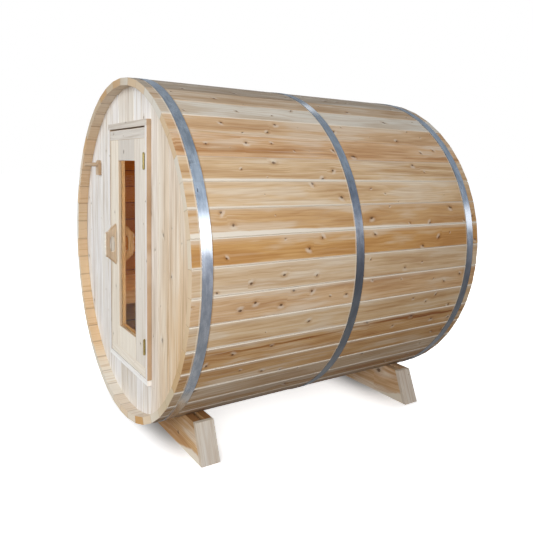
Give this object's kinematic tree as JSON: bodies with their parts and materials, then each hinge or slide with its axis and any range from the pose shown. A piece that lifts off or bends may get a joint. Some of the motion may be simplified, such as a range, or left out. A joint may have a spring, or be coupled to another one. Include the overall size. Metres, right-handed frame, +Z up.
{
  "type": "barrel sauna",
  "caption": "Barrel-shaped wooden sauna cabin of staves held by steel bands on saddle cradles, with a hinged glazed door in its boarded front wall and benches inside.",
  "frame": {"origin": "middle of the footprint at ground level, under the barrel", "axes": "+Z up, the door side faces -Y, +X to the right seen from the front"},
  "size_m": [1.8348, 1.867, 1.8946],
  "materials": {
    "stave_wood": "planed, unpainted",
    "wall_wood": "planed, unpainted",
    "frame_wood": "planed, unpainted",
    "door_wood": "planed, unpainted",
    "handle_wood": "planed, unpainted",
    "peg_wood": "planed, unpainted",
    "cradle_wood": "planed, unpainted",
    "cradle_end_wood": "planed, unpainted",
    "floor_wood": "planed, unpainted",
    "bench_wood": "planed, unpainted",
    "band_steel": "dull galvanised",
    "bolt_steel": "zinc plated",
    "hinge_brass": "satin",
    "door_glass": "bronze tinted"
  },
  "bodies": {
    "cabin": {"staves_top_right": "stave_wood", "staves_upper_right": "stave_wood", "staves_lower_right": "stave_wood", "staves_bottom_right": "stave_wood", "staves_bottom_left": "stave_wood", "staves_lower_left": "stave_wood", "staves_upper_left": "stave_wood", "staves_top_left": "stave_wood", "band_front": "band_steel", "band_middle": "band_steel", "band_rear": "band_steel", "cradle_front": "cradle_wood", "cradle_rear": "cradle_wood", "cradle_ends": "cradle_end_wood", "front_wall_left": "wall_wood", "front_wall_right": "wall_wood", "front_wall_over_door": "wall_wood", "front_wall_under_door": "wall_wood", "rear_wall": "wall_wood", "frame_left_jamb": "frame_wood", "frame_right_jamb": "frame_wood", "frame_head": "frame_wood", "frame_sill": "frame_wood", "wall_peg": "peg_wood", "hinge_frame_leaves": "hinge_brass", "floor_boards": "floor_wood", "floor_sleepers": "floor_wood", "bench_right_slats": "bench_wood", "bench_left_slats": "bench_wood", "bench_right_fascia": "bench_wood", "bench_left_fascia": "bench_wood", "bench_bearers": "bench_wood", "bench_legs": "bench_wood"},
    "door": {"door_top_rail": "door_wood", "door_bottom_rail": "door_wood", "door_left_stile": "door_wood", "door_right_stile": "door_wood", "door_upper_panel": "door_wood", "door_lower_panel": "door_wood", "door_glass": "door_glass", "handle_outside": "handle_wood", "handle_inside": "handle_wood", "hinge_door_leaves": "hinge_brass"}
  },
  "joints": [
    {"name": "door_hinge", "type": "hinge", "parent": "cabin", "child": "door", "pos_m": [0.2815, -0.8663, 0.976], "axis": [0, 0, 1], "range_deg": [0, 110]}
  ]
}
